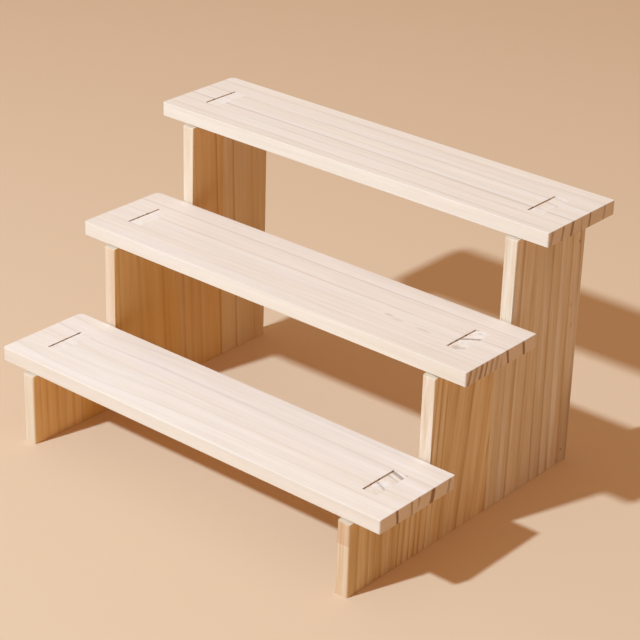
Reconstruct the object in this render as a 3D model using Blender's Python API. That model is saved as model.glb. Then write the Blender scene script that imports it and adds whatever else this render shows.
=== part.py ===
"""Three-tier stepped display rack in pine, made of two stepped side panels and three shelves.

Each side panel is edge-glued from upright staves and carries one tenon on every step. Each shelf is
glued up from two staves, drops over one tenon near either end and lifts straight off again, so the
rack goes together and comes apart without tools or fasteners.

Units are metres. +X runs along the shelves, +Y from front to back and +Z up. The origin lies on the
floor under the middle of the rack.
"""

import math

import bmesh
import bpy

# Shelves
SHELF_LENGTH = 0.400
SHELF_DEPTH = 0.089
SHELF_THICKNESS = 0.012
SHELF_CORNER_RADIUS = 0.002
LEFT_OVERHANG = 0.0285
RIGHT_OVERHANG = 0.0245
BOTTOM_SHELF_TOP = 0.075
MIDDLE_SHELF_TOP = 0.158
TOP_SHELF_TOP = 0.239

# Side panels: the ledge is the bit of tread left bare in front of a shelf
PANEL_THICKNESS = 0.012
PANEL_STAVES = 5
LEDGE = 0.004
GAP_BEHIND_SHELF = 0.0015

# Joints: the play is the gap beside a tenon on its slack side
TENON_LENGTH = 0.037
TENON_PLAY = 0.0012
FIT_CLEARANCE = 0.0003
GLUE_LINE = 0.0003

# Softened edges
EDGE_ROUND = 0.0015
EDGE_SEGMENTS = 2
CORNER_SEGMENTS = 4
SMOOTH_ANGLE = math.radians(40)

# Finish: unvarnished sanded pine, the shelves paler than the panels
SHELF_COLOUR = (0.80, 0.68, 0.52)
PANEL_COLOUR = (0.72, 0.54, 0.34)
STAVE_TINT = 0.04
WOOD_ROUGHNESS = 0.6

# Layout worked out from the sizes above
TIERS = (("bottom", BOTTOM_SHELF_TOP), ("middle", MIDDLE_SHELF_TOP), ("top", TOP_SHELF_TOP))
STEP_RUN = LEDGE + SHELF_DEPTH + GAP_BEHIND_SHELF
PANEL_DEPTH = STEP_RUN * len(TIERS)
STAVE_WIDTH = PANEL_DEPTH / PANEL_STAVES
SHELF_MIDDLE = LEDGE + SHELF_DEPTH / 2
PANELS = (
    ("left", -SHELF_LENGTH / 2 + LEFT_OVERHANG + PANEL_THICKNESS / 2),
    ("right", SHELF_LENGTH / 2 - RIGHT_OVERHANG - PANEL_THICKNESS / 2),
)
SAME_PLACE = 1e-6


def shoulder_of(shelf_top):
    """Height of the tread that a shelf rests on."""
    return shelf_top - SHELF_THICKNESS - FIT_CLEARANCE


def clear_scene():
    for old in list(bpy.data.objects):
        bpy.data.objects.remove(old, do_unlink=True)


def pine(name, colour, shade):
    """Bare sanded pine, a little darker or lighter than its neighbour's."""
    material = bpy.data.materials.new(name)
    material.use_nodes = True
    shader = material.node_tree.nodes["Principled BSDF"]
    tinted = [channel * (1 + shade * STAVE_TINT) for channel in colour]
    shader.inputs["Base Color"].default_value = (*tinted, 1)
    shader.inputs["Roughness"].default_value = WOOD_ROUGHNESS
    shader.inputs["Metallic"].default_value = 0
    return material


def add_empty(name, location, parent=None):
    empty = bpy.data.objects.new(name, None)
    empty.location = location
    empty.parent = parent
    bpy.context.collection.objects.link(empty)
    return empty


def extrude_outline(points, thrust):
    """Closed prism from an outline of 3-D points, pushed along the vector given."""
    body = bmesh.new()
    face = body.faces.new([body.verts.new(point) for point in points])
    pushed = bmesh.ops.extrude_face_region(body, geom=[face])["geom"]
    moved = [item for item in pushed if isinstance(item, bmesh.types.BMVert)]
    bmesh.ops.translate(body, verts=moved, vec=thrust)
    bmesh.ops.recalc_face_normals(body, faces=body.faces)
    return body


def round_edges(body, is_outer):
    """Sands the arrises that pass the test, and leaves glued and fitted edges sharp."""
    edges = [edge for edge in body.edges if is_outer(*[vert.co for vert in edge.verts])]
    bmesh.ops.bevel(
        body,
        geom=edges,
        offset=EDGE_ROUND,
        offset_type="OFFSET",
        segments=EDGE_SEGMENTS,
        profile=0.5,
        affect="EDGES",
        clamp_overlap=True,
        material=-1,
    )


def add_piece(name, body, parent, material):
    mesh = bpy.data.meshes.new(name)
    body.to_mesh(mesh)
    body.free()
    mesh.shade_smooth()
    mesh.set_sharp_from_angle(angle=SMOOTH_ANGLE)
    mesh.materials.append(material)
    piece = bpy.data.objects.new(name, mesh)
    piece.parent = parent
    bpy.context.collection.objects.link(piece)
    return piece


def tread_runs():
    """The panel's top edge from front to back, as (start, end, height): tread, tenon, tread on each step."""
    runs = []
    for step, (_, shelf_top) in enumerate(TIERS):
        front = step * STEP_RUN
        tenon_front = front + SHELF_MIDDLE - TENON_LENGTH / 2
        tenon_back = front + SHELF_MIDDLE + TENON_LENGTH / 2
        shoulder = shoulder_of(shelf_top)
        runs.append((front, tenon_front, shoulder))
        runs.append((tenon_front, tenon_back, shelf_top))
        runs.append((tenon_back, front + STEP_RUN, shoulder))
    return runs


def stave_outline(start, end):
    """One upright stave seen from the side: a flat foot, then whatever the stepped top is over it."""
    outline = [(start, 0.0), (end, 0.0)]
    for run_start, run_end, height in reversed(tread_runs()):
        low = max(run_start, start)
        high = min(run_end, end)
        if high > low + SAME_PLACE:
            outline.append((high, height))
            outline.append((low, height))
    return outline


def is_panel_arris(first, second):
    """True on the corners of the panel's front, risers and back, and along the edge on top of each."""
    faces = [(step * STEP_RUN, shoulder_of(shelf_top)) for step, (_, shelf_top) in enumerate(TIERS)]
    faces.append((PANEL_DEPTH, shoulder_of(TOP_SHELF_TOP)))
    for depth, top in faces:
        if max(abs(first.y - depth), abs(second.y - depth)) > SAME_PLACE:
            continue
        upright = abs(first.x - second.x) < SAME_PLACE
        on_top = max(abs(first.z - top), abs(second.z - top)) < SAME_PLACE
        if upright or on_top:
            return True
    return False


def add_panel(side, centre, rack):
    """A stepped side panel as its row of glued staves, numbered from the front."""
    panel = add_empty(f"{side}_panel", (centre, -PANEL_DEPTH / 2, 0), rack)
    for number in range(PANEL_STAVES):
        start = number * STAVE_WIDTH
        end = start + STAVE_WIDTH
        if number > 0:
            start += GLUE_LINE / 2
        if number < PANEL_STAVES - 1:
            end -= GLUE_LINE / 2
        outline = [(-PANEL_THICKNESS / 2, y, z) for y, z in stave_outline(start, end)]
        body = extrude_outline(outline, (PANEL_THICKNESS, 0, 0))
        round_edges(body, is_panel_arris)
        name = f"{side}_panel_stave_{number + 1}"
        add_piece(name, body, panel, pine(name, PANEL_COLOUR, (-1) ** number))


def mortises():
    """Where each mortise starts and ends along the shelf, with its slack on the left of the tenon."""
    for _, centre in PANELS:
        yield (
            centre - PANEL_THICKNESS / 2 - TENON_PLAY,
            centre + PANEL_THICKNESS / 2 + FIT_CLEARANCE,
        )


def corner_arc(centre_x, centre_y, start, end):
    """A rounded corner in plan, from one angle to the other."""
    for step in range(CORNER_SEGMENTS + 1):
        angle = start + (end - start) * step / CORNER_SEGMENTS
        yield (
            centre_x + SHELF_CORNER_RADIUS * math.cos(angle),
            centre_y + SHELF_CORNER_RADIUS * math.sin(angle),
        )


def shelf_stave_outline(outward):
    """Half a shelf in plan, from its glue line to its front (outward -1) or back (outward 1) edge."""
    half_length = SHELF_LENGTH / 2
    glue = GLUE_LINE / 2
    mortise_end = TENON_LENGTH / 2 + FIT_CLEARANCE
    arc_x = half_length - SHELF_CORNER_RADIUS
    arc_y = SHELF_DEPTH / 2 - SHELF_CORNER_RADIUS
    outline = [(-half_length, glue)]
    outline.extend(corner_arc(-arc_x, arc_y, math.pi, math.pi / 2))
    outline.extend(corner_arc(arc_x, arc_y, math.pi / 2, 0))
    outline.append((half_length, glue))
    for left, right in reversed(list(mortises())):
        outline.extend([(right, glue), (right, mortise_end), (left, mortise_end), (left, glue)])
    return [(x, outward * y, 0) for x, y in outline]


def is_shelf_arris(first, second):
    """True along the top and bottom edges of a shelf's rim, and not along its glue line or mortises."""
    if abs(first.z - second.z) > SAME_PLACE:
        return False
    for corner in (first, second):
        at_end = abs(corner.x) > SHELF_LENGTH / 2 - SHELF_CORNER_RADIUS - SAME_PLACE
        at_side = abs(corner.y) > SHELF_DEPTH / 2 - SHELF_CORNER_RADIUS - SAME_PLACE
        if not (at_end or at_side):
            return False
    return True


def add_shelf(tier, step, shelf_top, rack):
    """A shelf as its two staves, hung on an empty on the line along which it lifts off."""
    seat = shoulder_of(shelf_top) + FIT_CLEARANCE
    middle = step * STEP_RUN + SHELF_MIDDLE - PANEL_DEPTH / 2
    shelf = add_empty(f"{tier}_shelf", (0, middle, seat), rack)
    for place, outward in (("front", -1), ("back", 1)):
        body = extrude_outline(shelf_stave_outline(outward), (0, 0, SHELF_THICKNESS))
        round_edges(body, is_shelf_arris)
        name = f"{tier}_shelf_{place}_stave"
        add_piece(name, body, shelf, pine(name, SHELF_COLOUR, outward))


def main():
    clear_scene()
    rack = add_empty("display_rack", (0, 0, 0))
    for side, centre in PANELS:
        add_panel(side, centre, rack)
    for step, (tier, shelf_top) in enumerate(TIERS):
        add_shelf(tier, step, shelf_top, rack)


main()
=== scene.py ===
# %% [markdown]
# # A three-tier display rack in pine
#
# The rack is a shop-counter riser: two stepped side panels, three equal shelves, and nothing but
# mortise and tenon joints between them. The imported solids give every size, so this lesson leaves the
# sizes alone and makes the wood: sanded boards with soft arrises, glued up from staves, each stave
# with growth rings, fibres, resin ducts and end grain of its own.

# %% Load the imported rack
import math
from collections import namedtuple

import bmesh
import bpy
from mathutils import Matrix, Quaternion, Vector


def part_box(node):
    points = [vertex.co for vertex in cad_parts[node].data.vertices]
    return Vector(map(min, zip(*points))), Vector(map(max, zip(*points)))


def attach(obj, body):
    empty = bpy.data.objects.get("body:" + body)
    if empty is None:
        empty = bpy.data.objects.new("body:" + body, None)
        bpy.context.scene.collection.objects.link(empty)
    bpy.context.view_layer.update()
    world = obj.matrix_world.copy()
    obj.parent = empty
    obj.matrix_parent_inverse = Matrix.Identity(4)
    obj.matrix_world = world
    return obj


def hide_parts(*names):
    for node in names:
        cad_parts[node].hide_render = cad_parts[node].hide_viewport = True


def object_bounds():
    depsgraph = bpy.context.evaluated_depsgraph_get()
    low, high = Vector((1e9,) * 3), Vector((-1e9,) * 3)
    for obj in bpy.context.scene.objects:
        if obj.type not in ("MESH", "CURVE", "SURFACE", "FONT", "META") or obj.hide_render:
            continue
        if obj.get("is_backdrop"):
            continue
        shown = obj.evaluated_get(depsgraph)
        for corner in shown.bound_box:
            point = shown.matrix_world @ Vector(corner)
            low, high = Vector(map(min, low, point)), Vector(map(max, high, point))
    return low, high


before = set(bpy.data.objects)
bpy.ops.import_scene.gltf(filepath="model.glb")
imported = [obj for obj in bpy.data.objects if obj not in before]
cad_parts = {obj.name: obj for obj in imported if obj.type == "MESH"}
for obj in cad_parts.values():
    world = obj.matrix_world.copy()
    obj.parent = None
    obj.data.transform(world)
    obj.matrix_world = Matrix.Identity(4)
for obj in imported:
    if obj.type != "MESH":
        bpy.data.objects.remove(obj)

cad_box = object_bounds()


def in_mm(lengths):
    """Lengths in metres as a short list in millimetres, for printing."""
    return [round(1000 * length, 1) for length in lengths]


print("size of the solids in mm:", in_mm(cad_box[1] - cad_box[0]))

# %% [markdown]
# ## Read the boards
#
# A board here is several glued staves, and each stave is a node of the frame. Typing their sizes in
# again would invite slips, so they are read from the nodes' boxes: the panels give the steps, and the
# shelves give the heights.

# %% Read the size and place of every board
STAVES_PER_PANEL = 5
SIDES = ("left", "right")
TIERS = ("bottom", "middle", "top")
PLACES = ("front", "back")


def panel_nodes(side):
    return [f"{side}_panel_stave_{number}" for number in range(1, STAVES_PER_PANEL + 1)]


def shelf_nodes(tier):
    return [f"{tier}_shelf_{place}_stave" for place in PLACES]


def box_of(nodes):
    """Lowest and highest corner of several nodes taken together."""
    lows, highs = zip(*(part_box(node) for node in nodes))
    return Vector(map(min, *lows)), Vector(map(max, *highs))


panels = {side: box_of(panel_nodes(side)) for side in SIDES}
shelves = {tier: box_of(shelf_nodes(tier)) for tier in TIERS}
panel_front = panels["left"][0].y
panel_back = panels["left"][1].y
panel_thickness = panels["left"][1].x - panels["left"][0].x
step_run = (panel_back - panel_front) / len(TIERS)
for tier, (low, high) in shelves.items():
    print(f"{tier} shelf: top at {1000 * high.z:.0f} mm, front at {1000 * low.y:.1f} mm")

# %% [markdown]
# ## Stand the camera where the photograph was taken
#
# A picture of a box-shaped thing fixes its camera: the corners of the shelves and panels leave one
# place, one aim and one lens that puts them all where they are. A long lens from about 1.7 m away
# gives the flat, product-shot perspective. Aiming with a track quaternion keeps the camera level, so
# the photographer's slight roll is one more turn about the camera's own axis.

# %% Set the camera
CAMERA_AT = Vector((0.9798, -1.1531, 0.8609))
CAMERA_AIM = Vector((0.0167, 0.0092, 0.1205))
CAMERA_ROLL = math.radians(1.71)
CAMERA_LENS_MM = 117.8
SENSOR_MM = 36.0


def stand(name, data, at, turn):
    """Puts a camera or a lamp into the scene, turned as given."""
    thing = bpy.data.objects.new(name, data)
    thing.location = at
    thing.rotation_mode = "QUATERNION"
    thing.rotation_quaternion = turn
    bpy.context.collection.objects.link(thing)
    return thing


camera_data = bpy.data.cameras.new("counter view")
camera_data.lens = CAMERA_LENS_MM
camera_data.sensor_width = SENSOR_MM
level = (CAMERA_AIM - CAMERA_AT).to_track_quat("-Z", "Y")
rolled = level @ Quaternion((0, 0, 1), CAMERA_ROLL)
bpy.context.scene.camera = stand("counter view", camera_data, CAMERA_AT, rolled)
bpy.context.scene.view_settings.view_transform = "Standard"
print(f"camera {(CAMERA_AIM - CAMERA_AT).length:.2f} m from its aim, lens {CAMERA_LENS_MM} mm")

# %% [markdown]
# ## Tools for building node trees
#
# The floor, the fill light and the wood are all made of shader nodes, and wood is one recipe with many
# small steps. Each step becomes a shader node group with named sockets, built once and used by every
# stave with its own values. Building nodes in code repeats the same few moves, so these helpers add a
# node, feed its sockets with links or plain numbers, and hand back its output.

# %% Helpers that start a group and feed its sockets
def new_group(name, inputs, outputs):
    """An empty shader node group, with the sockets to read from and the sockets to fill, by kind."""
    group = bpy.data.node_groups.new(name, "ShaderNodeTree")
    for direction, kinds in (("INPUT", inputs), ("OUTPUT", outputs)):
        for kind, labels in kinds.items():
            for label in labels:
                group.interface.new_socket(label, in_out=direction, socket_type=f"NodeSocket{kind}")
    given = group.nodes.new("NodeGroupInput").outputs
    result = group.nodes.new("NodeGroupOutput").inputs
    return group, given, result


def feed(tree, socket, value):
    """Links a socket to another node's output, or sets it to a plain value."""
    if isinstance(value, bpy.types.NodeSocket):
        tree.links.new(value, socket)
    else:
        socket.default_value = value


print("ready: new_group, feed")

# %% Helpers that calculate
def calc(tree, operation, *values):
    node = tree.nodes.new("ShaderNodeMath")
    node.operation = operation
    for socket, value in zip(node.inputs, values):
        feed(tree, socket, value)
    return node.outputs[0]


def vector_calc(tree, operation, first, second=None):
    node = tree.nodes.new("ShaderNodeVectorMath")
    node.operation = operation
    feed(tree, node.inputs[0], first)
    if second is not None:
        feed(tree, node.inputs["Scale" if operation == "SCALE" else 1], second)
    return node.outputs["Value" if operation in ("DOT_PRODUCT", "LENGTH") else "Vector"]


def coordinate(tree, place, axis):
    """The X, Y or Z of a place."""
    node = tree.nodes.new("ShaderNodeSeparateXYZ")
    feed(tree, node.inputs[0], place)
    return node.outputs[axis]


def ease(tree, value, start, end, low=0.0, high=1.0):
    """Smooth step: low up to start, high from end on."""
    node = tree.nodes.new("ShaderNodeMapRange")
    node.interpolation_type = "SMOOTHSTEP"
    for socket, number in zip(node.inputs, (value, start, end, low, high)):
        feed(tree, socket, number)
    return node.outputs[0]


print("ready: calc, vector_calc, coordinate, ease")

# %% Helpers for noise and colour
def noise(tree, place, stretch, seed, detail=2.0, output="Fac"):
    """Soft noise, stretched by a factor along each axis. The seed is its fourth dimension."""
    node = tree.nodes.new("ShaderNodeTexNoise")
    node.noise_dimensions = "4D"
    feed(tree, node.inputs["Vector"], vector_calc(tree, "MULTIPLY", place, stretch))
    feed(tree, node.inputs["W"], seed)
    node.inputs["Scale"].default_value = 1.0
    node.inputs["Detail"].default_value = detail
    return node.outputs[output]


def blend(tree, factor, first, second, mode="MIX"):
    """Mixes two colours. A number or a value socket counts as a grey."""
    node = tree.nodes.new("ShaderNodeMix")
    node.data_type = "RGBA"
    node.blend_type = mode
    colours = [socket for socket in node.inputs if socket.type == "RGBA"]
    feed(tree, node.inputs["Factor"], factor)
    feed(tree, colours[0], first)
    feed(tree, colours[1], second)
    return next(socket for socket in node.outputs if socket.type == "RGBA")


print("ready: noise, blend")

# %% [markdown]
# ## Floor
#
# The rack stands on warm pale paper. The paper looks nearly cream where the lamp falls on it, yet the
# light that it throws into the shade is a deep orange. One colour can't do both, so a Light Path node
# picks: what the eye sees, by itself or in gloss and glass, is the pale colour, and all other rays meet
# the deeper one. It is still a shaded surface, so it keeps the rack's shadow.

# %% Lay the floor
FLOOR_HALF = 6.0
FLOOR_DROP = 0.0001
FLOOR_COLOUR = (0.79, 0.573, 0.398, 1)
BOUNCE_COLOUR = (0.71, 0.445, 0.215, 1)
FLOOR_ROUGHNESS = 0.9


def seen_directly(tree):
    """One for what the camera sees, by itself or in gloss and glass, and nought for other light."""
    rays = tree.nodes.new("ShaderNodeLightPath").outputs
    mirrored = calc(tree, "MAXIMUM", rays["Is Glossy Ray"], rays["Is Transmission Ray"])
    return calc(tree, "MAXIMUM", rays["Is Camera Ray"], mirrored)


paper = bpy.data.materials.new("pale floor")
paper.use_nodes = True
tree = paper.node_tree
shader = tree.nodes["Principled BSDF"]
shader.inputs["Roughness"].default_value = FLOOR_ROUGHNESS
shader.inputs["Specular IOR Level"].default_value = 0.0
shown = blend(tree, seen_directly(tree), BOUNCE_COLOUR, FLOOR_COLOUR)
feed(tree, shader.inputs["Base Color"], shown)

sheet = bmesh.new()
bmesh.ops.create_grid(sheet, x_segments=1, y_segments=1, size=FLOOR_HALF)
bmesh.ops.translate(sheet, verts=sheet.verts, vec=(0, 0, -FLOOR_DROP))
floor_mesh = bpy.data.meshes.new("floor")
sheet.to_mesh(floor_mesh)
sheet.free()
floor_mesh.materials.append(paper)
floor = bpy.data.objects.new("floor", floor_mesh)
bpy.context.collection.objects.link(floor)
floor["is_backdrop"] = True
print(f"floor {2 * FLOOR_HALF:.0f} m across")

# %% [markdown]
# ## Softbox
#
# The shadows in the picture run back and to the right, so one softbox stands in front, a little to the
# left, at the height that makes them as long as they are. It is small and far away, because their
# edges are fairly crisp. It lights shelf tops and front edges about equally, which is why the two
# almost melt together. A lamp is brightest straight ahead, so it faces a spot behind the rack, which
# evens out the floor, and a grid narrows its beam. Its light is bluish: with the warm fill that comes
# next, the sum on a level surface is about one, so a colour comes out as it is written.

# %% Hang the softbox
SOFTBOX_AIM = Vector((0.0, 0.0, 0.10))
LIGHT_TRAVEL = Vector((0.30, 1.08, -1.0)).normalized()
SOFTBOX_AWAY = 4.2
SOFTBOX_ACROSS = 0.19
SOFTBOX_WATTS = 90.0
SOFTBOX_GRID = math.radians(120)
SOFTBOX_FACES = Vector((0.40, 1.20, 0.0))
SOFTBOX_COLOUR = (0.627, 0.84, 1.0)

softbox_data = bpy.data.lights.new("softbox", "AREA")
softbox_data.shape = "DISK"
softbox_data.size = SOFTBOX_ACROSS
softbox_data.energy = SOFTBOX_WATTS
softbox_data.color = SOFTBOX_COLOUR
softbox_data.spread = SOFTBOX_GRID
softbox_at = SOFTBOX_AIM - LIGHT_TRAVEL * SOFTBOX_AWAY
stand("softbox", softbox_data, softbox_at, (SOFTBOX_FACES - softbox_at).to_track_quat("-Z", "Y"))
print("softbox at", in_mm(softbox_at), "mm")

# %% [markdown]
# ## Light that fills the shade
#
# The shade in the picture is warm, and warmest close to the ground. A world of one colour would be
# simpler, but it lights a sheltered corner as much as an open one and greys the panels. So this world
# is graded: in a world, Generated is the direction of the ray, and its height mixes a dim orange at
# the horizon into a paler light overhead. The eye gets a plain pale sky instead, past the floor's far
# edge and in the wood's faint gloss, picked by the same rays as the floor's colour.

# %% Grade the fill from the horizon up
SKY_COLOUR = (0.95, 0.84, 0.72, 1)
FILL_OVERHEAD = (0.62, 0.425, 0.26, 1)
FILL_LEVEL = (0.22, 0.09, 0.025, 1)

world = bpy.data.worlds.new("studio")
world.use_nodes = True
bpy.context.scene.world = world
studio = world.node_tree
toward = studio.nodes.new("ShaderNodeTexCoord").outputs["Generated"]
graded = blend(studio, coordinate(studio, toward, "Z"), FILL_LEVEL, FILL_OVERHEAD)
fill = studio.nodes["Background"]
feed(studio, fill.inputs["Color"], graded)
sky = studio.nodes.new("ShaderNodeBackground")
sky.inputs["Color"].default_value = SKY_COLOUR
choose = studio.nodes.new("ShaderNodeMixShader")
for socket, source in zip(choose.inputs, (seen_directly(studio), fill.outputs[0], sky.outputs[0])):
    feed(studio, socket, source)
feed(studio, studio.nodes["World Output"].inputs["Surface"], choose.outputs[0])
print("fill overhead", FILL_OVERHEAD[:3], "and level", FILL_LEVEL[:3])

# %% [markdown]
# ## Growth rings
#
# A tree adds one ring a year: wide pale early wood, then a narrow dark band of late wood that stops
# dead where the next year starts. A stave is cut from somewhere beside the pith, so the rings are
# cylinders about a line that may lie well outside it. A Wave texture can draw rings, but each of them
# alike. This group works in millimetres with the pith at the origin and the grain along Z, and starts
# from the distance to the pith, so that every ring can have its own width and strength. Because it is a
# solid pattern, a ring that crosses a shelf top carries on over the edge and down the end, as in wood.

# %% Distance from the pith, with rings that wander
RING_DRIFT = (0.010, 0.010, 0.0035)
RAGGED_EDGE = (0.45, 0.45, 0.03)
RAGGED_MM = 0.8
MIDDLE_GREY = (0.5, 0.5, 0.5)
ACROSS_THE_GRAIN = (1, 1, 0)

growth_rings, given, result = new_group(
    "growth rings",
    {
        "Vector": ["Place"],
        "Float": [
            "Spacing", "Late Width", "Strength", "End Strength", "Known Year", "Wander", "Swell", "Seed",
        ],
    },
    {"Float": ["Late", "End Late", "Year"]},
)
drift = noise(growth_rings, given["Place"], RING_DRIFT, given["Seed"], output="Color")
drift = vector_calc(growth_rings, "SUBTRACT", drift, MIDDLE_GREY)
drift = vector_calc(growth_rings, "SCALE", drift, given["Wander"])
moved = vector_calc(growth_rings, "ADD", given["Place"], drift)
moved = vector_calc(growth_rings, "MULTIPLY", moved, ACROSS_THE_GRAIN)
from_pith = vector_calc(growth_rings, "LENGTH", moved)
ragged = noise(growth_rings, given["Place"], RAGGED_EDGE, given["Seed"])
ragged = calc(growth_rings, "MULTIPLY_ADD", ragged, RAGGED_MM, -RAGGED_MM / 2)
from_pith = calc(growth_rings, "ADD", from_pith, ragged)
from_pith = calc(growth_rings, "ADD", from_pith, given["Swell"])
print("distance from the pith:", len(growth_rings.nodes), "nodes")

# %% [markdown]
# ### Good years and poor years
#
# Dividing the distance by the ring spacing counts the years. Smooth noise along that count makes some
# years wider, and a die thrown once a year makes some lines darker. One line of each stave was read
# from the picture, the known year: the noise is measured from there, so that line stays where it was
# seen, and it is always drawn at full strength.

# %% Years of uneven width and strength
UNEVEN_YEARS = 0.35
LUCK_STEP = 5.3
WEAKEST_YEAR = 0.45
HALF_A_YEAR = 0.5


def luck_at(tree, count, seed):
    """Smooth noise along the count of years, which makes some rings wider than others."""
    node = tree.nodes.new("ShaderNodeTexNoise")
    node.noise_dimensions = "1D"
    node.inputs["Detail"].default_value = 0.0
    node.inputs["Scale"].default_value = 1.0
    feed(tree, node.inputs["W"], calc(tree, "MULTIPLY_ADD", seed, LUCK_STEP, count))
    return node.outputs["Fac"]


years = calc(growth_rings, "DIVIDE", from_pith, given["Spacing"])
luck_here = luck_at(growth_rings, years, given["Seed"])
luck_known = luck_at(growth_rings, given["Known Year"], given["Seed"])
slip = calc(growth_rings, "SUBTRACT", luck_here, luck_known)
years = calc(growth_rings, "MULTIPLY_ADD", slip, UNEVEN_YEARS, years)
year = calc(growth_rings, "FLOOR", years)
left_of_year = calc(growth_rings, "SUBTRACT", 1.0, calc(growth_rings, "FRACT", years))
left_of_year = calc(growth_rings, "MULTIPLY", left_of_year, given["Spacing"])
die = growth_rings.nodes.new("ShaderNodeTexWhiteNoise")
die.noise_dimensions = "1D"
feed(growth_rings, die.inputs["W"], calc(growth_rings, "ADD", year, given["Seed"]))
strength = ease(growth_rings, die.outputs["Value"], 0.0, 1.0, WEAKEST_YEAR, 1.0)
last_year = calc(growth_rings, "SUBTRACT", given["Known Year"], 1.0)
known = calc(growth_rings, "COMPARE", year, last_year, HALF_A_YEAR)
strength = calc(growth_rings, "MAXIMUM", strength, known)
print("counting years:", len(growth_rings.nodes), "nodes so far")

# %% [markdown]
# ### Late wood
#
# Late wood comes up softly and stops sharply. On a face its lines fade in patches along the board,
# all but the known one. On an end, which is cut square across every year, they are bands of one width.

# %% Late wood on faces and on ends
PATCHY = (0.05, 0.05, 0.016)
PATCH_RANGE = (0.35, 0.65)
PALEST_PATCH = 0.5
DARKEST_PATCH = 1.15
FACE_STOP = 0.35
END_STOP_MM = 0.5
END_SOLID_MM = 2.2
END_FADE_MM = 4.0

patchy = noise(growth_rings, given["Place"], PATCHY, given["Seed"])
patchy = ease(growth_rings, patchy, *PATCH_RANGE, PALEST_PATCH, DARKEST_PATCH)
on_face = calc(growth_rings, "MAXIMUM", calc(growth_rings, "MULTIPLY", strength, patchy), known)
on_face = calc(growth_rings, "MULTIPLY", on_face, given["Strength"])
late = ease(growth_rings, left_of_year, given["Late Width"], 0.0)
stop = calc(growth_rings, "MULTIPLY", given["Late Width"], FACE_STOP)
late = calc(growth_rings, "MULTIPLY", late, ease(growth_rings, left_of_year, 0.0, stop))
feed(growth_rings, result["Late"], calc(growth_rings, "MULTIPLY", late, on_face))
on_end = calc(growth_rings, "MULTIPLY", strength, given["End Strength"])
end_late = ease(growth_rings, left_of_year, END_FADE_MM, END_SOLID_MM)
end_stop = ease(growth_rings, left_of_year, 0.0, END_STOP_MM)
end_late = calc(growth_rings, "MULTIPLY", end_late, end_stop)
feed(growth_rings, result["End Late"], calc(growth_rings, "MULTIPLY", end_late, on_end))
feed(growth_rings, result["Year"], die.outputs["Value"])
print("growth rings:", len(growth_rings.nodes), "nodes")

# %% [markdown]
# ## Fibres and resin ducts
#
# Between the rings, pine is a bundle of fibres: hair-fine streaks along the grain, broad pale and
# dark drifts, and short brown dashes where resin ducts were cut open. Each is noise pulled out along
# the grain. On an end the same noise is cut across, so the dashes turn into pores by themselves.

# %% Group for fibres
FINE_FIBRES = (1.0, 1.0, 0.04)
FINE_DETAIL = 3.0
STREAKS = (0.28, 0.28, 0.009)
BROAD_DRIFT = (0.10, 0.10, 0.004)
DUCTS = (0.40, 0.40, 0.05)
DUCT_CORE = 0.05
DUCT_RIM = 0.13
DUCTS_KEPT = (0.55, 0.65)
RED_ONLY = (1, 0, 0)

wood_fibres, given, result = new_group(
    "wood fibres",
    {"Vector": ["Place"], "Float": ["Seed"]},
    {"Float": ["Fine", "Streaks", "Broad", "Ducts"]},
)
fine = noise(wood_fibres, given["Place"], FINE_FIBRES, given["Seed"], FINE_DETAIL)
feed(wood_fibres, result["Fine"], fine)
feed(wood_fibres, result["Streaks"], noise(wood_fibres, given["Place"], STREAKS, given["Seed"]))
feed(wood_fibres, result["Broad"], noise(wood_fibres, given["Place"], BROAD_DRIFT, given["Seed"]))
cells = wood_fibres.nodes.new("ShaderNodeTexVoronoi")
cells.voronoi_dimensions = "4D"
cells.inputs["Scale"].default_value = 1.0
feed(wood_fibres, cells.inputs["Vector"], vector_calc(wood_fibres, "MULTIPLY", given["Place"], DUCTS))
feed(wood_fibres, cells.inputs["W"], given["Seed"])
duct = ease(wood_fibres, cells.outputs["Distance"], DUCT_RIM, DUCT_CORE)
kept = vector_calc(wood_fibres, "DOT_PRODUCT", cells.outputs["Color"], RED_ONLY)
kept = ease(wood_fibres, kept, *DUCTS_KEPT)
feed(wood_fibres, result["Ducts"], calc(wood_fibres, "MULTIPLY", duct, kept))
print("wood fibres:", len(wood_fibres.nodes), "nodes")

# %% [markdown]
# ## Knots
#
# A knot is the root of a branch. The wood around it swells and the rings flow past it, so the group
# gives two things: how much of a spot is knot, and how far the rings are pushed aside there. Sizes are
# counted in radii of the knot. With a push of nought the same group makes a plain stain or a streak of
# pitch.

# %% Group for one knot
KNOT_CORE = 0.4
KNOT_RIM = 1.3
SWELL_FULL = 0.6
SWELL_GONE = 4.0

branch_knot, given, result = new_group(
    "branch knot",
    {"Vector": ["Place", "Centre"], "Float": ["Radius", "Stretch", "Dark", "Push"]},
    {"Float": ["Knot", "Swell"]},
)
squeeze = branch_knot.nodes.new("ShaderNodeCombineXYZ")
squeeze.inputs["X"].default_value = 1.0
squeeze.inputs["Y"].default_value = 1.0
feed(branch_knot, squeeze.inputs["Z"], calc(branch_knot, "DIVIDE", 1.0, given["Stretch"]))
apart = vector_calc(branch_knot, "SUBTRACT", given["Place"], given["Centre"])
apart = vector_calc(branch_knot, "MULTIPLY", apart, squeeze.outputs[0])
radii = calc(branch_knot, "DIVIDE", vector_calc(branch_knot, "LENGTH", apart), given["Radius"])
heart = ease(branch_knot, radii, KNOT_RIM, KNOT_CORE)
feed(branch_knot, result["Knot"], calc(branch_knot, "MULTIPLY", heart, given["Dark"]))
push = calc(branch_knot, "MULTIPLY", given["Radius"], given["Push"])
swell = ease(branch_knot, radii, SWELL_GONE, SWELL_FULL)
feed(branch_knot, result["Swell"], calc(branch_knot, "MULTIPLY", swell, push))
print("branch knot:", len(branch_knot.nodes), "nodes")

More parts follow.
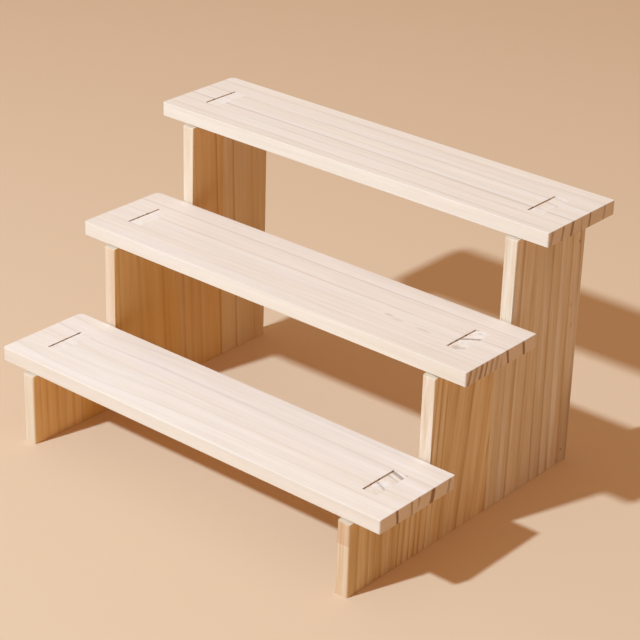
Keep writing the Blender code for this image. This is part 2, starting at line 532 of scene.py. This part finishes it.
# %% [markdown]
# ## Which way a face was cut
#
# Wood looks different on its wide faces, on its narrow edges and on its ends, and a rounded arris
# catches the light in its own way. The surface's own normal tells them apart: along the grain it is an
# end, across the board's width an edge, and where it points along none of the board's three directions
# it is an arris. Painting each face with a material of its own would leave a hard seam instead.

# %% Group for faces, edges, ends and arrises
END_TURN = (0.55, 0.9)
EDGE_TURN = (0.4, 0.85)
ARRIS_TURN = (0.995, 0.87)


def squareness(tree, normal, direction):
    """One where a surface faces along a direction, nought where it runs beside it."""
    return calc(tree, "ABSOLUTE", vector_calc(tree, "DOT_PRODUCT", normal, direction))


cut_faces, given, result = new_group(
    "cut faces",
    {"Vector": ["Normal", "Grain", "Width"]},
    {"Float": ["End", "Edge", "Arris"]},
)
thickness = vector_calc(cut_faces, "CROSS_PRODUCT", given["Grain"], given["Width"])
as_end = squareness(cut_faces, given["Normal"], given["Grain"])
as_edge = squareness(cut_faces, given["Normal"], given["Width"])
as_face = squareness(cut_faces, given["Normal"], thickness)
squarest = calc(cut_faces, "MAXIMUM", as_end, calc(cut_faces, "MAXIMUM", as_edge, as_face))
feed(cut_faces, result["End"], ease(cut_faces, as_end, *END_TURN))
feed(cut_faces, result["Edge"], ease(cut_faces, as_edge, *EDGE_TURN))
feed(cut_faces, result["Arris"], ease(cut_faces, squarest, *ARRIS_TURN))
print("cut faces:", len(cut_faces.nodes), "nodes")

# %% [markdown]
# ## The colour of sanded pine
#
# This group lays the steps over each other, pale wood first. Late wood darkens it, and shows less on an
# edge than on a face. Then come drifts from warm to cool, and the layers of fibre. Darker pine is also
# redder, so the shade is raised to a higher power in green and blue, which is called deepening here. An
# end is calmer than a face, since its fibres are cut square. Ducts and knots go on top. A rounded arris
# faces the lamp more squarely than any flat side, so it gets a painted shade: its colour is darkened a
# little to keep it from lighting up.

# %% Group for the wood, and its late wood
EDGE_LATE = 0.4


def one_down_to(tree, least, mask):
    """One outside a mask, and down to the least value inside it."""
    return ease(tree, mask, 0.0, 1.0, 1.0, least)


sanded_pine, given, result = new_group(
    "sanded pine",
    {
        "Float": [
            "Late", "End Late", "Year", "Fine", "Streaks", "Broad", "Ducts", "Knot", "End", "Edge",
            "Arris", "Contrast",
        ],
        "Color": ["Face Colour", "Edge Colour", "End Colour", "Face Tint", "End Tint"],
        "Vector": ["Deepening"],
    },
    {"Color": ["Colour"], "Float": ["Roughness", "Height"]},
)
face = blend(sanded_pine, given["Edge"], given["Face Colour"], given["Edge Colour"])
shown = one_down_to(sanded_pine, EDGE_LATE, given["Edge"])
shown = calc(sanded_pine, "MULTIPLY", given["Late"], shown)
face = blend(sanded_pine, shown, face, given["Face Tint"], "MULTIPLY")
end = blend(sanded_pine, given["End Late"], given["End Colour"], given["End Tint"], "MULTIPLY")
colour = blend(sanded_pine, given["End"], face, end)
print("plain wood with its rings:", len(sanded_pine.nodes), "nodes")

# %% Drifts and fibres over it
LAYER_SHARES = {"Broad": 0.9, "Streaks": 1.2, "Fine": 0.7, "Year": 0.25}
WARM_DRIFT = (1.0, 0.965, 0.90, 1)
COOL_DRIFT = (0.985, 1.0, 1.04, 1)
DRIFT_RANGE = (0.3, 0.7)
DRIFT_SHARE = 3.0
END_CALM = 0.5


def summed(tree, layers, shares, start):
    """A plain start, plus a share of each layer named."""
    total = start
    for layer, share in shares.items():
        total = calc(tree, "MULTIPLY_ADD", layers[layer], share, total)
    return total


drift = blend(sanded_pine, ease(sanded_pine, given["Broad"], *DRIFT_RANGE), WARM_DRIFT, COOL_DRIFT)
calm = one_down_to(sanded_pine, END_CALM, given["End"])
contrast = calc(sanded_pine, "MULTIPLY", given["Contrast"], calm)
drifting = calc(sanded_pine, "MULTIPLY", contrast, DRIFT_SHARE)
colour = blend(sanded_pine, drifting, colour, drift, "MULTIPLY")
sway = summed(sanded_pine, given, LAYER_SHARES, -sum(LAYER_SHARES.values()) / 2)
shade = calc(sanded_pine, "MULTIPLY_ADD", sway, contrast, 1.0)
powers = sanded_pine.nodes.new("ShaderNodeSeparateXYZ")
feed(sanded_pine, powers.inputs[0], given["Deepening"])
deeper = sanded_pine.nodes.new("ShaderNodeCombineColor")
for channel, power in zip(deeper.inputs, powers.outputs):
    feed(sanded_pine, channel, calc(sanded_pine, "POWER", shade, power))
colour = blend(sanded_pine, 1.0, colour, deeper.outputs[0], "MULTIPLY")
print("with drifts and fibres:", len(sanded_pine.nodes), "nodes")

# %% Ducts, knots and arrises on top
DUCT_DARK = 0.85
KNOT_COLOUR = (0.44, 0.28, 0.14, 1)
ARRIS_PAINTED_SHADE = 0.93

ducts = one_down_to(sanded_pine, DUCT_DARK, given["Ducts"])
colour = blend(sanded_pine, 1.0, colour, ducts, "MULTIPLY")
colour = blend(sanded_pine, given["Knot"], colour, KNOT_COLOUR, "MULTIPLY")
# Painted shade: a rounded arris is darkened a little, so it doesn't light up brighter than the flat
# sides.
arris = one_down_to(sanded_pine, ARRIS_PAINTED_SHADE, given["Arris"])
colour = blend(sanded_pine, 1.0, colour, arris, "MULTIPLY")
feed(sanded_pine, result["Colour"], colour)
print("with ducts, knots and arrises:", len(sanded_pine.nodes), "nodes")

# %% [markdown]
# ### How it feels
#
# End grain stays duller than a face, and late wood takes a slight polish. Sanding leaves the hard
# late wood and the fibres a little proud, and the ducts open.

# %% Roughness and height
WOOD_ROUGHNESS = 0.6
ROUGHNESS_SHARES = {"Fine": 0.16, "End": 0.12, "Late": -0.05}
HEIGHT_SHARES = {"Fine": 0.7, "Late": 0.6, "Ducts": -0.8}

between_fibres = WOOD_ROUGHNESS - ROUGHNESS_SHARES["Fine"] / 2
rough = summed(sanded_pine, given, ROUGHNESS_SHARES, between_fibres)
feed(sanded_pine, result["Roughness"], rough)
feed(sanded_pine, result["Height"], summed(sanded_pine, given, HEIGHT_SHARES, 0.0))
print("sanded pine:", len(sanded_pine.nodes), "nodes")

# %% [markdown]
# ## One stave's own pine
#
# Every stave came from another place in another tree. What makes it itself is where the pith was, how
# wide the rings are and how far the grain leans. Guessing a pith position by eye is hard, so it is
# worked out backwards: one late line is known to pass through a point of the stave, the pith lies a
# whole number of rings from there, and the slant of the rings across the board says in which
# direction. A Mapping node then puts the pith at the origin, the grain along Z and the unit at 1 mm.

# %% What makes a stave itself
EVEN = (1, 1, 1)

# Lengths are in mm and angles in degrees. A late line crosses the face ring_at behind the board's front.
Grain = namedtuple(
    "Grain",
    "ring_at spacing late_width strength lean slant pith_rings wander"
    " tint edge_tint end_strength knots joint_at far_tint",
    defaults=[EVEN, EVEN, 1.0, (), None, None],
)
Knot = namedtuple("Knot", "spot radius stretch dark push", defaults=[0.9])
Tones = namedtuple("Tones", "face edge end ledge face_late end_late contrast deepening")
print("a stave's grain has", len(Grain._fields), "values")

# %% Put the pith at the origin
MM = 0.001
UP = Vector((0, 0, 1))
ALONG = Vector((1, 0, 0))
ACROSS = Vector((0, 1, 0))


def stave_frame(grain_axis, lean):
    """Axes of a stave as columns: depth, thickness, grain, with the grain tipped by its lean."""
    thickness_axis = grain_axis.cross(ACROSS)
    tipped = Matrix.Rotation(math.radians(lean), 3, thickness_axis)
    return tipped @ Matrix((ACROSS, thickness_axis, grain_axis)).transposed()


def pith_point(through, axes, grain):
    """Where the pith runs, a whole number of rings from a point that a late line passes through."""
    slant = math.radians(grain.slant)
    outward = axes @ Vector((math.cos(slant), -math.sin(slant), 0))
    return through - outward * grain.pith_rings * grain.spacing * MM


def laid_about_pith(tree, where, pith, axes):
    """A place on the stave as the tree has it: pith at the origin, grain along Z, in millimetres."""
    laid = tree.nodes.new("ShaderNodeMapping")
    laid.vector_type = "TEXTURE"
    laid.inputs["Location"].default_value = pith
    laid.inputs["Rotation"].default_value = axes.to_euler()
    laid.inputs["Scale"].default_value = (MM, MM, MM)
    feed(tree, laid.inputs["Vector"], where)
    return laid.outputs["Vector"]


print("grain along", UP[:], "in a panel and", ALONG[:], "in a shelf")

# %% [markdown]
# ### Colours that change over one stave
#
# Three things change a stave's plain colour from place to place. A front edge can be pieced from two
# lengths, with a fine pale line at the joint. A panel board can have one colour on its seen face and
# another on the face turned away, which is painted light, as the two faces are lit differently. And the
# ends of a panel's staves are either clean tenon tops, planed flush with a shelf, or ledges and feet,
# which are darker as a painted shade that keeps the lit ledges from shining white. The place on the
# rack, in Object coordinates, decides each.

# %% Joints, heart and sap, ledges and tenon tops
JOINT_LINE = 0.0009
JOINT_TINT = (0.915, 0.82, 0.76)
JOINT_PALE = (1.06, 1.05, 1.05)
SEEN_TINT_DEPTH = 0.25
FAR_TINT_DEPTH = 0.75
FLUSH_WITHIN = 0.002


def tinted(colour, tint):
    return (*(channel * share for channel, share in zip(colour, tint)), 1)


def jointed(tree, where, colour, joint_height):
    """An edge colour that changes at a joint, with the joint itself as a fine pale line."""
    above = calc(tree, "SUBTRACT", coordinate(tree, where, "Z"), joint_height)
    upper = blend(tree, ease(tree, above, 0.0, JOINT_LINE), colour, tinted(colour, JOINT_TINT))
    line = ease(tree, calc(tree, "ABSOLUTE", above), JOINT_LINE, 0.0)
    return blend(tree, line, upper, tinted(colour, JOINT_PALE))


# Painted light: the two faces of one board get different colours because they are lit differently.
def two_sided(tree, where, seen_at, seen, far):
    """A face colour that turns from one face's to the other's through a panel's thickness."""
    depth = calc(tree, "SUBTRACT", seen_at, coordinate(tree, where, "X"))
    turn = ease(tree, depth, SEEN_TINT_DEPTH * panel_thickness, FAR_TINT_DEPTH * panel_thickness)
    return blend(tree, turn, seen, far)


def flush_or_ledge_shade(tree, where, flush, ledge_shade):
    """An end colour for tenon tops, planed flush with their shelf, and a darker one for ledges and feet,
    as painted shade.
    """
    reached = coordinate(tree, where, "Z")
    at_top = 0.0
    for low, high in shelves.values():
        at_this = calc(tree, "COMPARE", reached, high.z, FLUSH_WITHIN)
        at_top = calc(tree, "ADD", at_this, at_top)
    return blend(tree, at_top, (*ledge_shade, 1), (*flush, 1))


def stave_colours(tree, where, through, grain, tones):
    """The colours of a stave's faces, edges and ends, by the sockets that take them."""
    face = tinted(tones.face, grain.tint)
    if grain.far_tint is not None:
        face = two_sided(tree, where, through.x, face, tinted(tones.face, grain.far_tint))
    edge = tinted(tones.edge, grain.edge_tint)
    if grain.joint_at is not None:
        edge = jointed(tree, where, edge, grain.joint_at)
    end = (*tones.end, 1)
    if tones.ledge is not None:
        end = flush_or_ledge_shade(tree, where, tones.end, tones.ledge)
    return {"Face Colour": face, "Edge Colour": edge, "End Colour": end}


# The depth over which one face's colour turns into the other's.
print(f"heart turns to sap over {1000 * (FAR_TINT_DEPTH - SEEN_TINT_DEPTH) * panel_thickness:.0f} mm")

# %% [markdown]
# ### The material
#
# Every stave has the same tree of groups, and only the values on the sockets differ. Gloss and bump
# depth are the same all over, so they are set on the shader and the Bump node. Knots are added last,
# since each feeds two places: the colour, which goes dark, and the rings, which are pushed aside.

# %% Material for a stave
BUMP_DEPTH = 0.00018
BUMP_STRENGTH = 0.35
WOOD_GLOSS = 0.2


def placed(tree, group, values):
    """A group placed in a material, with its sockets fed by name."""
    node = tree.nodes.new("ShaderNodeGroup")
    node.node_tree = group
    for label, value in values.items():
        feed(tree, node.inputs[label], value)
    return node


def add_up(tree, source, target):
    """Adds a value to whatever already feeds a socket."""
    if target.is_linked:
        source = calc(tree, "ADD", source, target.links[0].from_socket)
    feed(tree, target, source)


def pine_material(name, grain_axis, through, grain, tones, seed):
    """Pine for one stave, with a known late line through a point of it."""
    material = bpy.data.materials.new(name)
    material.use_nodes = True
    tree = material.node_tree
    axes = stave_frame(grain_axis, grain.lean)
    pith = pith_point(through, axes, grain)
    where = tree.nodes.new("ShaderNodeTexCoord").outputs
    place = laid_about_pith(tree, where["Object"], pith, axes)
    rings = placed(tree, growth_rings, {
        "Place": place, "Spacing": grain.spacing, "Late Width": grain.late_width,
        "Strength": grain.strength, "End Strength": grain.end_strength,
        "Known Year": grain.pith_rings, "Wander": grain.wander, "Seed": seed,
    })
    fibres = placed(tree, wood_fibres, {"Place": place, "Seed": seed})
    faces = placed(tree, cut_faces, {"Normal": where["Normal"], "Grain": grain_axis, "Width": ACROSS})
    wood = placed(tree, sanded_pine, {
        "Face Tint": (*tones.face_late, 1), "End Tint": (*tones.end_late, 1),
        "Contrast": tones.contrast, "Deepening": tones.deepening,
        **stave_colours(tree, where["Object"], through, grain, tones),
    })
    for source in (rings, fibres, faces):
        for socket in source.outputs:
            feed(tree, wood.inputs[socket.name], socket)
    for branch in grain.knots:
        knot = placed(tree, branch_knot, {
            "Place": place, "Centre": axes.inverted() @ ((Vector(branch.spot) - pith) / MM),
            "Radius": branch.radius, "Stretch": branch.stretch, "Dark": branch.dark, "Push": branch.push,
        })
        add_up(tree, knot.outputs["Knot"], wood.inputs["Knot"])
        add_up(tree, knot.outputs["Swell"], rings.inputs["Swell"])

    bump = tree.nodes.new("ShaderNodeBump")
    bump.inputs["Strength"].default_value = BUMP_STRENGTH
    bump.inputs["Distance"].default_value = BUMP_DEPTH
    feed(tree, bump.inputs["Height"], wood.outputs["Height"])
    shader = tree.nodes["Principled BSDF"]
    shader.inputs["Specular IOR Level"].default_value = WOOD_GLOSS
    feed(tree, shader.inputs["Base Color"], wood.outputs["Colour"])
    feed(tree, shader.inputs["Roughness"], wood.outputs["Roughness"])
    feed(tree, shader.inputs["Normal"], bump.outputs["Normal"])
    return material


print("pine made of", len(bpy.data.node_groups), "node groups")

# %% [markdown]
# ## Sawing and sanding boards
#
# Both kinds of board start as a flat outline that is pushed out to its thickness. The corners of a
# shelf are rounded first, by a bevel of the upright edge. Sanding then rounds the arrises that a hand
# meets, barely breaks the rest, and leaves glue lines and inner corners sharp. Bevelling each kind in
# turn would leave untidy corners where they meet, so every edge only gets a weight here, and one
# Bevel modifier does them all. Its hardened normals keep the wide faces flat to the eye.

# %% Push a board out and round its edges
WIDEST_ROUND = 0.0016
CORNER_SEGMENTS = 8
SAME_PLACE = 1e-6
SHARP_ANGLE = math.radians(30)


def pushed_out(points, thrust):
    """A closed board from the corners of a flat outline and a push along its thickness."""
    board = bmesh.new()
    face = board.faces.new([board.verts.new(point) for point in points])
    pushed = bmesh.ops.extrude_face_region(board, geom=[face])["geom"]
    moved = [item for item in pushed if isinstance(item, bmesh.types.BMVert)]
    bmesh.ops.translate(board, verts=moved, vec=thrust)
    bmesh.ops.recalc_face_normals(board, faces=board.faces)
    return board


def both_at(edge, axis, value):
    return all(abs(vert.co[axis] - value) < SAME_PLACE for vert in edge.verts)


def round_corner(board, x, y, radius):
    """Rounds the upright corner that stands at x, y."""
    upright = [edge for edge in board.edges if both_at(edge, 0, x) and both_at(edge, 1, y)]
    bmesh.ops.bevel(
        board, geom=upright, offset=radius, offset_type="OFFSET", segments=CORNER_SEGMENTS, profile=0.5,
        affect="EDGES", clamp_overlap=False, material=-1,
    )


def round_edges(board, rounding):
    """Notes each edge's rounding as a bevel weight, and marks what stays sharp."""
    board.normal_update()
    weights = board.edges.layers.float.new("bevel_weight_edge")
    for edge in board.edges:
        edge[weights] = rounding(edge) / WIDEST_ROUND if edge.is_convex else 0.0
        edge.smooth = edge[weights] > 0 or edge.calc_face_angle(0.0) < SHARP_ANGLE


print(f"a weight of 1 rounds an edge by {1000 * WIDEST_ROUND} mm")

# %% Finish a stave
ROUND_SEGMENTS = 5


def finished_stave(node, body, board, material):
    """Makes the piece that stands for a node of the frame, sanded and riding on its body."""
    mesh = bpy.data.meshes.new(f"sanded_{node}")
    board.to_mesh(mesh)
    board.free()
    for polygon in mesh.polygons:
        polygon.use_smooth = True
    mesh.materials.append(material)
    piece = bpy.data.objects.new(f"sanded_{node}", mesh)
    bpy.context.collection.objects.link(piece)
    sanding = piece.modifiers.new("sanded arrises", "BEVEL")
    sanding.limit_method = "WEIGHT"
    sanding.width = WIDEST_ROUND
    sanding.segments = ROUND_SEGMENTS
    sanding.profile = 0.5
    sanding.use_clamp_overlap = False
    sanding.harden_normals = True
    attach(piece, body)
    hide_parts(node)


print("each arris is rounded in", ROUND_SEGMENTS, "segments")

# %% [markdown]
# ## The side panels
#
# A panel is edge-glued from five upright staves and then cut to its stepped outline, tenons and all.
# The script goes the same way: the whole outline is drawn and pushed out once, and each stave is what
# is left after one or two saw cuts. bisect_plane makes a cut and throws one side away, and holes_fill
# closes the sawn face. A hair's breadth between staves stays as the glue line. The tenons' length has
# to be typed in, because no node's box shows it.

# %% Draw the outline of a panel
TENON_LENGTH = 0.037
SEAT_GAP = 0.0003


def panel_outline():
    """The stepped side view as (y, z): flat foot, then seat, tenon and seat on every step."""
    outline = [(panel_front, 0.0), (panel_back, 0.0)]
    for step in reversed(range(len(TIERS))):
        low, high = shelves[TIERS[step]]
        seat = low.z - SEAT_GAP
        step_front = panel_front + step * step_run
        middle = (low.y + high.y) / 2
        tenon_front = middle - TENON_LENGTH / 2
        tenon_back = middle + TENON_LENGTH / 2
        outline.extend([(step_front + step_run, seat), (tenon_back, seat), (tenon_back, high.z)])
        outline.extend([(tenon_front, high.z), (tenon_front, seat), (step_front, seat)])
    return outline


print("panel outline has", len(panel_outline()), "corners")

# %% Saw a panel into staves
GLUE_LINE = 0.00002
PANEL_ARRIS = 0.0016
CRISP = 0.0002


def saw_off(board, y, direction):
    """Cuts the board across at y and drops what lies beyond in the direction given."""
    everything = board.verts[:] + board.edges[:] + board.faces[:]
    bmesh.ops.bisect_plane(
        board, geom=everything, dist=SAME_PLACE, plane_co=(0, y, 0), plane_no=(0, direction, 0),
        clear_outer=True,
    )
    rim = [edge for edge in board.edges if edge.is_boundary]
    bmesh.ops.holes_fill(board, edges=rim, sides=0)


def panel_rounding(glue_lines):
    """The rule for how far each edge of a panel stave is rounded."""
    show_faces = [panel_front + step * step_run for step in range(len(TIERS))] + [panel_back]
    tenon_tops = [high.z for low, high in shelves.values()]

    def rounding(edge):
        if any(both_at(edge, 1, y) for y in glue_lines):
            return 0.0
        if any(both_at(edge, 2, z) for z in tenon_tops):
            return 0.0
        if both_at(edge, 2, 0.0):
            return CRISP
        return PANEL_ARRIS if any(both_at(edge, 1, y) for y in show_faces) else CRISP

    return rounding


def panel_staves(side):
    """The sawn staves of one panel, from the front."""
    low, high = panels[side]
    points = [(low.x, y, z) for y, z in panel_outline()]
    panel = pushed_out(points, (high.x - low.x, 0, 0))
    for number in range(STAVES_PER_PANEL):
        stave = panel.copy()
        cuts = []
        if number > 0:
            cuts.append((panel_front + number * stave_width + GLUE_LINE / 2, -1))
        if number < STAVES_PER_PANEL - 1:
            cuts.append((panel_front + (number + 1) * stave_width - GLUE_LINE / 2, 1))
        for y, direction in cuts:
            saw_off(stave, y, direction)
        round_edges(stave, panel_rounding([y for y, _ in cuts]))
        yield stave
    panel.free()


stave_width = (panel_back - panel_front) / STAVES_PER_PANEL
print(f"panel staves {1000 * stave_width:.1f} mm wide")

# %% [markdown]
# ## The grain of the panels
#
# The staves were read one by one from the picture: where a dark line crosses the face, how far it is
# to the next, whether the lines lean, and whether the stave is warmer or greyer than its neighbours.
# The picture shows the outer face of the right panel and the inner face of the left one, which is the
# calmer of the two. A far tint is for the face that is turned away, which is lit otherwise: the two
# tints differ as painted light.

# %% Colours of the panels
PANEL_TONES = Tones(
    face=(0.87, 0.72, 0.55),
    # The edge is darker than the face partly as the front edges' own warmer tone, and partly as painted
    # shade against the extra light the floor throws on them.
    edge=(0.785, 0.605, 0.458),
    end=(0.91, 0.79, 0.715),
    # Painted shade: ledges and feet are kept darker so that the lit ledges don't shine white.
    ledge=(0.66, 0.53, 0.41),
    face_late=(0.68, 0.54, 0.36),
    end_late=(0.55, 0.49, 0.45),
    contrast=0.38,
    deepening=(1.0, 1.5, 2.3),
)
CALM_TONES = PANEL_TONES._replace(contrast=0.2)
WARM = (1.0, 0.97, 0.90)
# ORANGE, RUSSET and AMBER go on the seen inner faces of the left panel. Besides the wood's own tone they
# hold painted light: the orange of light bounced into the shade, AMBER brightest near the lit floor.
ORANGE = (1.04, 0.865, 0.52)
RUSSET = (1.0, 0.85, 0.60)
AMBER = (1.13, 0.99, 0.77)
STRAW = (0.95, 0.90, 0.81)
HONEY = (1.03, 1.01, 0.97)
PINK = (1.01, 1.09, 1.32)
GREY = (0.97, 1.04, 1.25)
YELLOW_EDGE = (0.97, 0.92, 0.82)
WHITE_EDGE = (1.0, 1.04, 1.06)
LEFT_EDGES = ((1.02, 1.06, 1.08), (0.98, 0.92, 0.86), (1.08, 1.13, 1.20))
print("contrast, right and left:", PANEL_TONES.contrast, CALM_TONES.contrast)

# %% Knots, pitch, stains and a dark patch on the right panel
outer_face = panels["right"][1].x
tenon_top = shelves["middle"][1].z
PIN_KNOTS_AND_DARK_PATCH = (
    Knot((outer_face, 0.1341, 0.1988), 1.0, 1.3, 0.9),
    Knot((outer_face, 0.1292, 0.1447), 0.9, 3.0, 0.4),
    Knot((outer_face, 0.1318, 0.1261), 0.9, 3.0, 0.4),
    Knot((outer_face, 0.1323, 0.0121), 0.9, 1.3, 0.8),
    Knot((outer_face, 0.1272, 0.0038), 0.8, 1.3, 0.6),
    # A large soft dark patch low down at the back edge of the outer face, not a knot.
    Knot((outer_face, 0.138, 0.035), 13.0, 3.5, 0.30, push=0.0),
)
PITCH_STREAK = (Knot((outer_face, 0.0265, 0.057), 1.1, 13.0, 0.35, push=0.0),)
TENON_STAINS = (
    Knot((0.1680, -0.0140, tenon_top), 3.2, 1.0, 0.30, push=0.0),
    Knot((0.1695, 0.0155, tenon_top), 2.2, 1.0, 0.24, push=0.0),
)
print("marks on the right panel:", len(PIN_KNOTS_AND_DARK_PATCH + PITCH_STREAK + TENON_STAINS))

# %% Grain of every panel stave, from the front
# Ring at, spacing, late width, strength, lean, slant, rings to the pith, wander, then the tints.
PANEL_GRAIN = {
    "left": (
        Grain(28, 9.5, 5.0, 0.6, -1.0, 8, 14, 5, AMBER, LEFT_EDGES[0], 0.12, far_tint=WARM),
        Grain(103, 17, 6.0, 0.6, -1.0, -10, 9, 6, ORANGE, LEFT_EDGES[1], 0.12, far_tint=WARM),
        Grain(155.6, 27.5, 9.0, 0.5, -3.0, 12, 6, 4, ORANGE, end_strength=0.12, far_tint=WARM),
        Grain(222.6, 21.5, 5.5, 1.0, -2.5, -14, 7, 3, RUSSET, LEFT_EDGES[2], 0.12, far_tint=WARM),
        Grain(244.3, 24, 5.5, 1.1, -2.1, 10, 8, 3, WARM, end_strength=0.12),
    ),
    "right": (
        Grain(40, 13, 6.0, 0.9, 1.0, 27, 10, 6, STRAW, YELLOW_EDGE, 0.6, joint_at=0.043),
        Grain(63, 6.4, 4.0, 1.15, 3.0, 20, 16, 4, WARM),
        Grain(143, 16, 8.0, 1.0, 6.0, -32, 9, 6, HONEY, knots=PITCH_STREAK + TENON_STAINS),
        Grain(200, 14.2, 6.0, 1.1, 1.0, -12, 11, 5, PINK, WHITE_EDGE, 0.3, far_tint=WARM),
        Grain(243, 12.5, 5.0, 1.0, -1.0, 14, 12, 6, GREY, EVEN, 0.3, PIN_KNOTS_AND_DARK_PATCH, far_tint=WARM),
    ),
}
print("panel staves described:", sum(map(len, PANEL_GRAIN.values())))

# %% Make the panels
FIRST_SEED = {"left": 0.5, "right": 10.5}

for side in SIDES:
    tones = CALM_TONES if side == "left" else PANEL_TONES
    for number, stave in enumerate(panel_staves(side)):
        node = panel_nodes(side)[number]
        grain = PANEL_GRAIN[side][number]
        half_way_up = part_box(node)[1].z / 2
        through = Vector((panels[side][1].x, panel_front + grain.ring_at * MM, half_way_up))
        seed = FIRST_SEED[side] + number
        material = pine_material(f"pine of {node}", UP, through, grain, tones, seed)
        finished_stave(node, "side_panels", stave, material)
    print(f"{side} panel: {STAVES_PER_PANEL} staves")

# %% [markdown]
# ## The shelves
#
# A shelf is two staves glued along the middle. The glue line runs through both mortises, so each
# stave has two notches, and two halves make the holes. The tenons were cut to fit on one side and
# left with play on the other, and that play is the dark line that shows at the left of every tenon.
# The left corners are sanded rounder than the right ones, the back one most of all.

# %% Draw a shelf stave
LEFT_CORNERS = {"front": 0.0032, "back": 0.0055}
RIGHT_CORNER = 0.0014
SHELF_ARRIS = 0.0006
TENON_PLAY = 0.0018
SNUG = 0.00004


def mortises():
    """Start and end of each mortise along the shelf, with its play at the left of the tenon."""
    return [(panels[side][0].x - TENON_PLAY, panels[side][1].x + SNUG) for side in SIDES]


def shelf_rounding(glue):
    """The rule for how far each edge of a shelf stave is rounded."""

    def rounding(edge):
        level = abs(edge.verts[0].co.z - edge.verts[1].co.z) < SAME_PLACE
        if not level or both_at(edge, 1, glue):
            return 0.0
        for left, right in mortises():
            if both_at(edge, 0, left):
                return CRISP
            if all(left - SAME_PLACE < vert.co.x < right + SAME_PLACE for vert in edge.verts):
                return 0.0
        return SHELF_ARRIS

    return rounding


def shelf_stave(tier, place):
    """The front or back stave of a shelf, notched for the tenons."""
    low, high = shelves[tier]
    outward = -1 if place == "front" else 1
    middle = (low.y + high.y) / 2
    glue = middle + outward * GLUE_LINE / 2
    outer = low.y if place == "front" else high.y
    notch = middle + outward * (TENON_LENGTH / 2 + SNUG)
    outline = [(low.x, glue), (low.x, outer), (high.x, outer), (high.x, glue)]
    for left, right in reversed(mortises()):
        outline.extend([(right, glue), (right, notch), (left, notch), (left, glue)])
    stave = pushed_out([(x, y, low.z) for x, y in outline], (0, 0, high.z - low.z))
    round_corner(stave, low.x, outer, LEFT_CORNERS[place])
    round_corner(stave, high.x, outer, RIGHT_CORNER)
    round_edges(stave, shelf_rounding(glue))
    return stave


print("mortises in mm:", [in_mm(mortise) for mortise in mortises()])

# %% [markdown]
# ## The grain of the shelves
#
# The shelves are paler than the panels, nearly white on top, with a few soft grey lines along their
# length. The ends tell more: wide, almost upright rings on the top shelf, close ones in front and wide
# ones behind on the middle shelf, and wide curved ones on the bottom shelf.

# %% Colours and marks of the shelves
SHELF_TONES = Tones(
    face=(0.90, 0.768, 0.675),
    # Painted shade: the front edges are kept darker than the top because the floor throws extra light on
    # them.
    edge=(0.82, 0.70, 0.60),
    end=(0.85, 0.75, 0.73),
    ledge=None,
    face_late=(0.75, 0.69, 0.67),
    end_late=(0.42, 0.29, 0.19),
    contrast=0.15,
    deepening=(1.0, 1.15, 1.3),
)
COOL = (1.01, 1.02, 1.035)
DULL = (0.97, 0.965, 0.965)
MIDDLE_SMUDGES = (
    Knot((0.098, -0.006, 0.158), 1.6, 3.0, 0.32),
    Knot((0.108, -0.008, 0.158), 2.2, 3.0, 0.18),
    Knot((0.1333, -0.009, 0.158), 1.6, 5.0, 0.24),
)
FRONT_SWIRL = Knot((-0.128, -0.120, 0.072), 7.0, 4.0, 0.03)
BACK_SWIRL = Knot((-0.152, -0.064, 0.073), 6.0, 3.5, 0.06)
print("marks on the middle shelf:", len(MIDDLE_SMUDGES))

# %% Grain of every shelf stave, front and back
# Columns as for the panels.
SHELF_GRAIN = {
    "bottom": (
        Grain(22, 20, 4.0, 0.5, 0.6, -6, 4, 9, COOL, knots=(FRONT_SWIRL,)),
        Grain(64, 18, 4.0, 0.5, -0.5, 8, 5, 8, COOL, knots=(BACK_SWIRL,)),
    ),
    "middle": (
        Grain(28, 6.6, 4.4, 0.3, 0.4, 9, 14, 6, DULL, end_strength=0.8, knots=MIDDLE_SMUDGES),
        Grain(73, 18.5, 3.0, 0.9, 0.3, -11, 7, 4, DULL),
    ),
    "top": (
        Grain(34, 13, 3.4, 1.0, -0.6, 7, 12, 3, DULL, end_strength=0.8),
        Grain(57, 19.5, 3.4, 1.0, -0.4, 5, 8, 4, DULL, end_strength=0.8),
    ),
}
print("shelf staves described:", sum(map(len, SHELF_GRAIN.values())))

# %% Make the shelves
FIRST_SHELF_SEED = 30.5

for tier in TIERS:
    low, high = shelves[tier]
    for number, place in enumerate(PLACES):
        node = shelf_nodes(tier)[number]
        grain = SHELF_GRAIN[tier][number]
        through = Vector((high.x, low.y + grain.ring_at * MM, high.z))
        seed = FIRST_SHELF_SEED + len(PLACES) * TIERS.index(tier) + number
        material = pine_material(f"pine of {node}", ALONG, through, grain, SHELF_TONES, seed)
        finished_stave(node, f"{tier}_shelf", shelf_stave(tier, place), material)
    print(f"{tier} shelf: {len(PLACES)} staves")

# %% [markdown]
# ## The size of the dressed rack
#
# Sanding only takes wood away, so the dressed rack must fill the same box as the solids.

# %% Print the size of the dressed rack
new_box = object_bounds()
print("size of the dressed rack in mm:", in_mm(new_box[1] - new_box[0]))
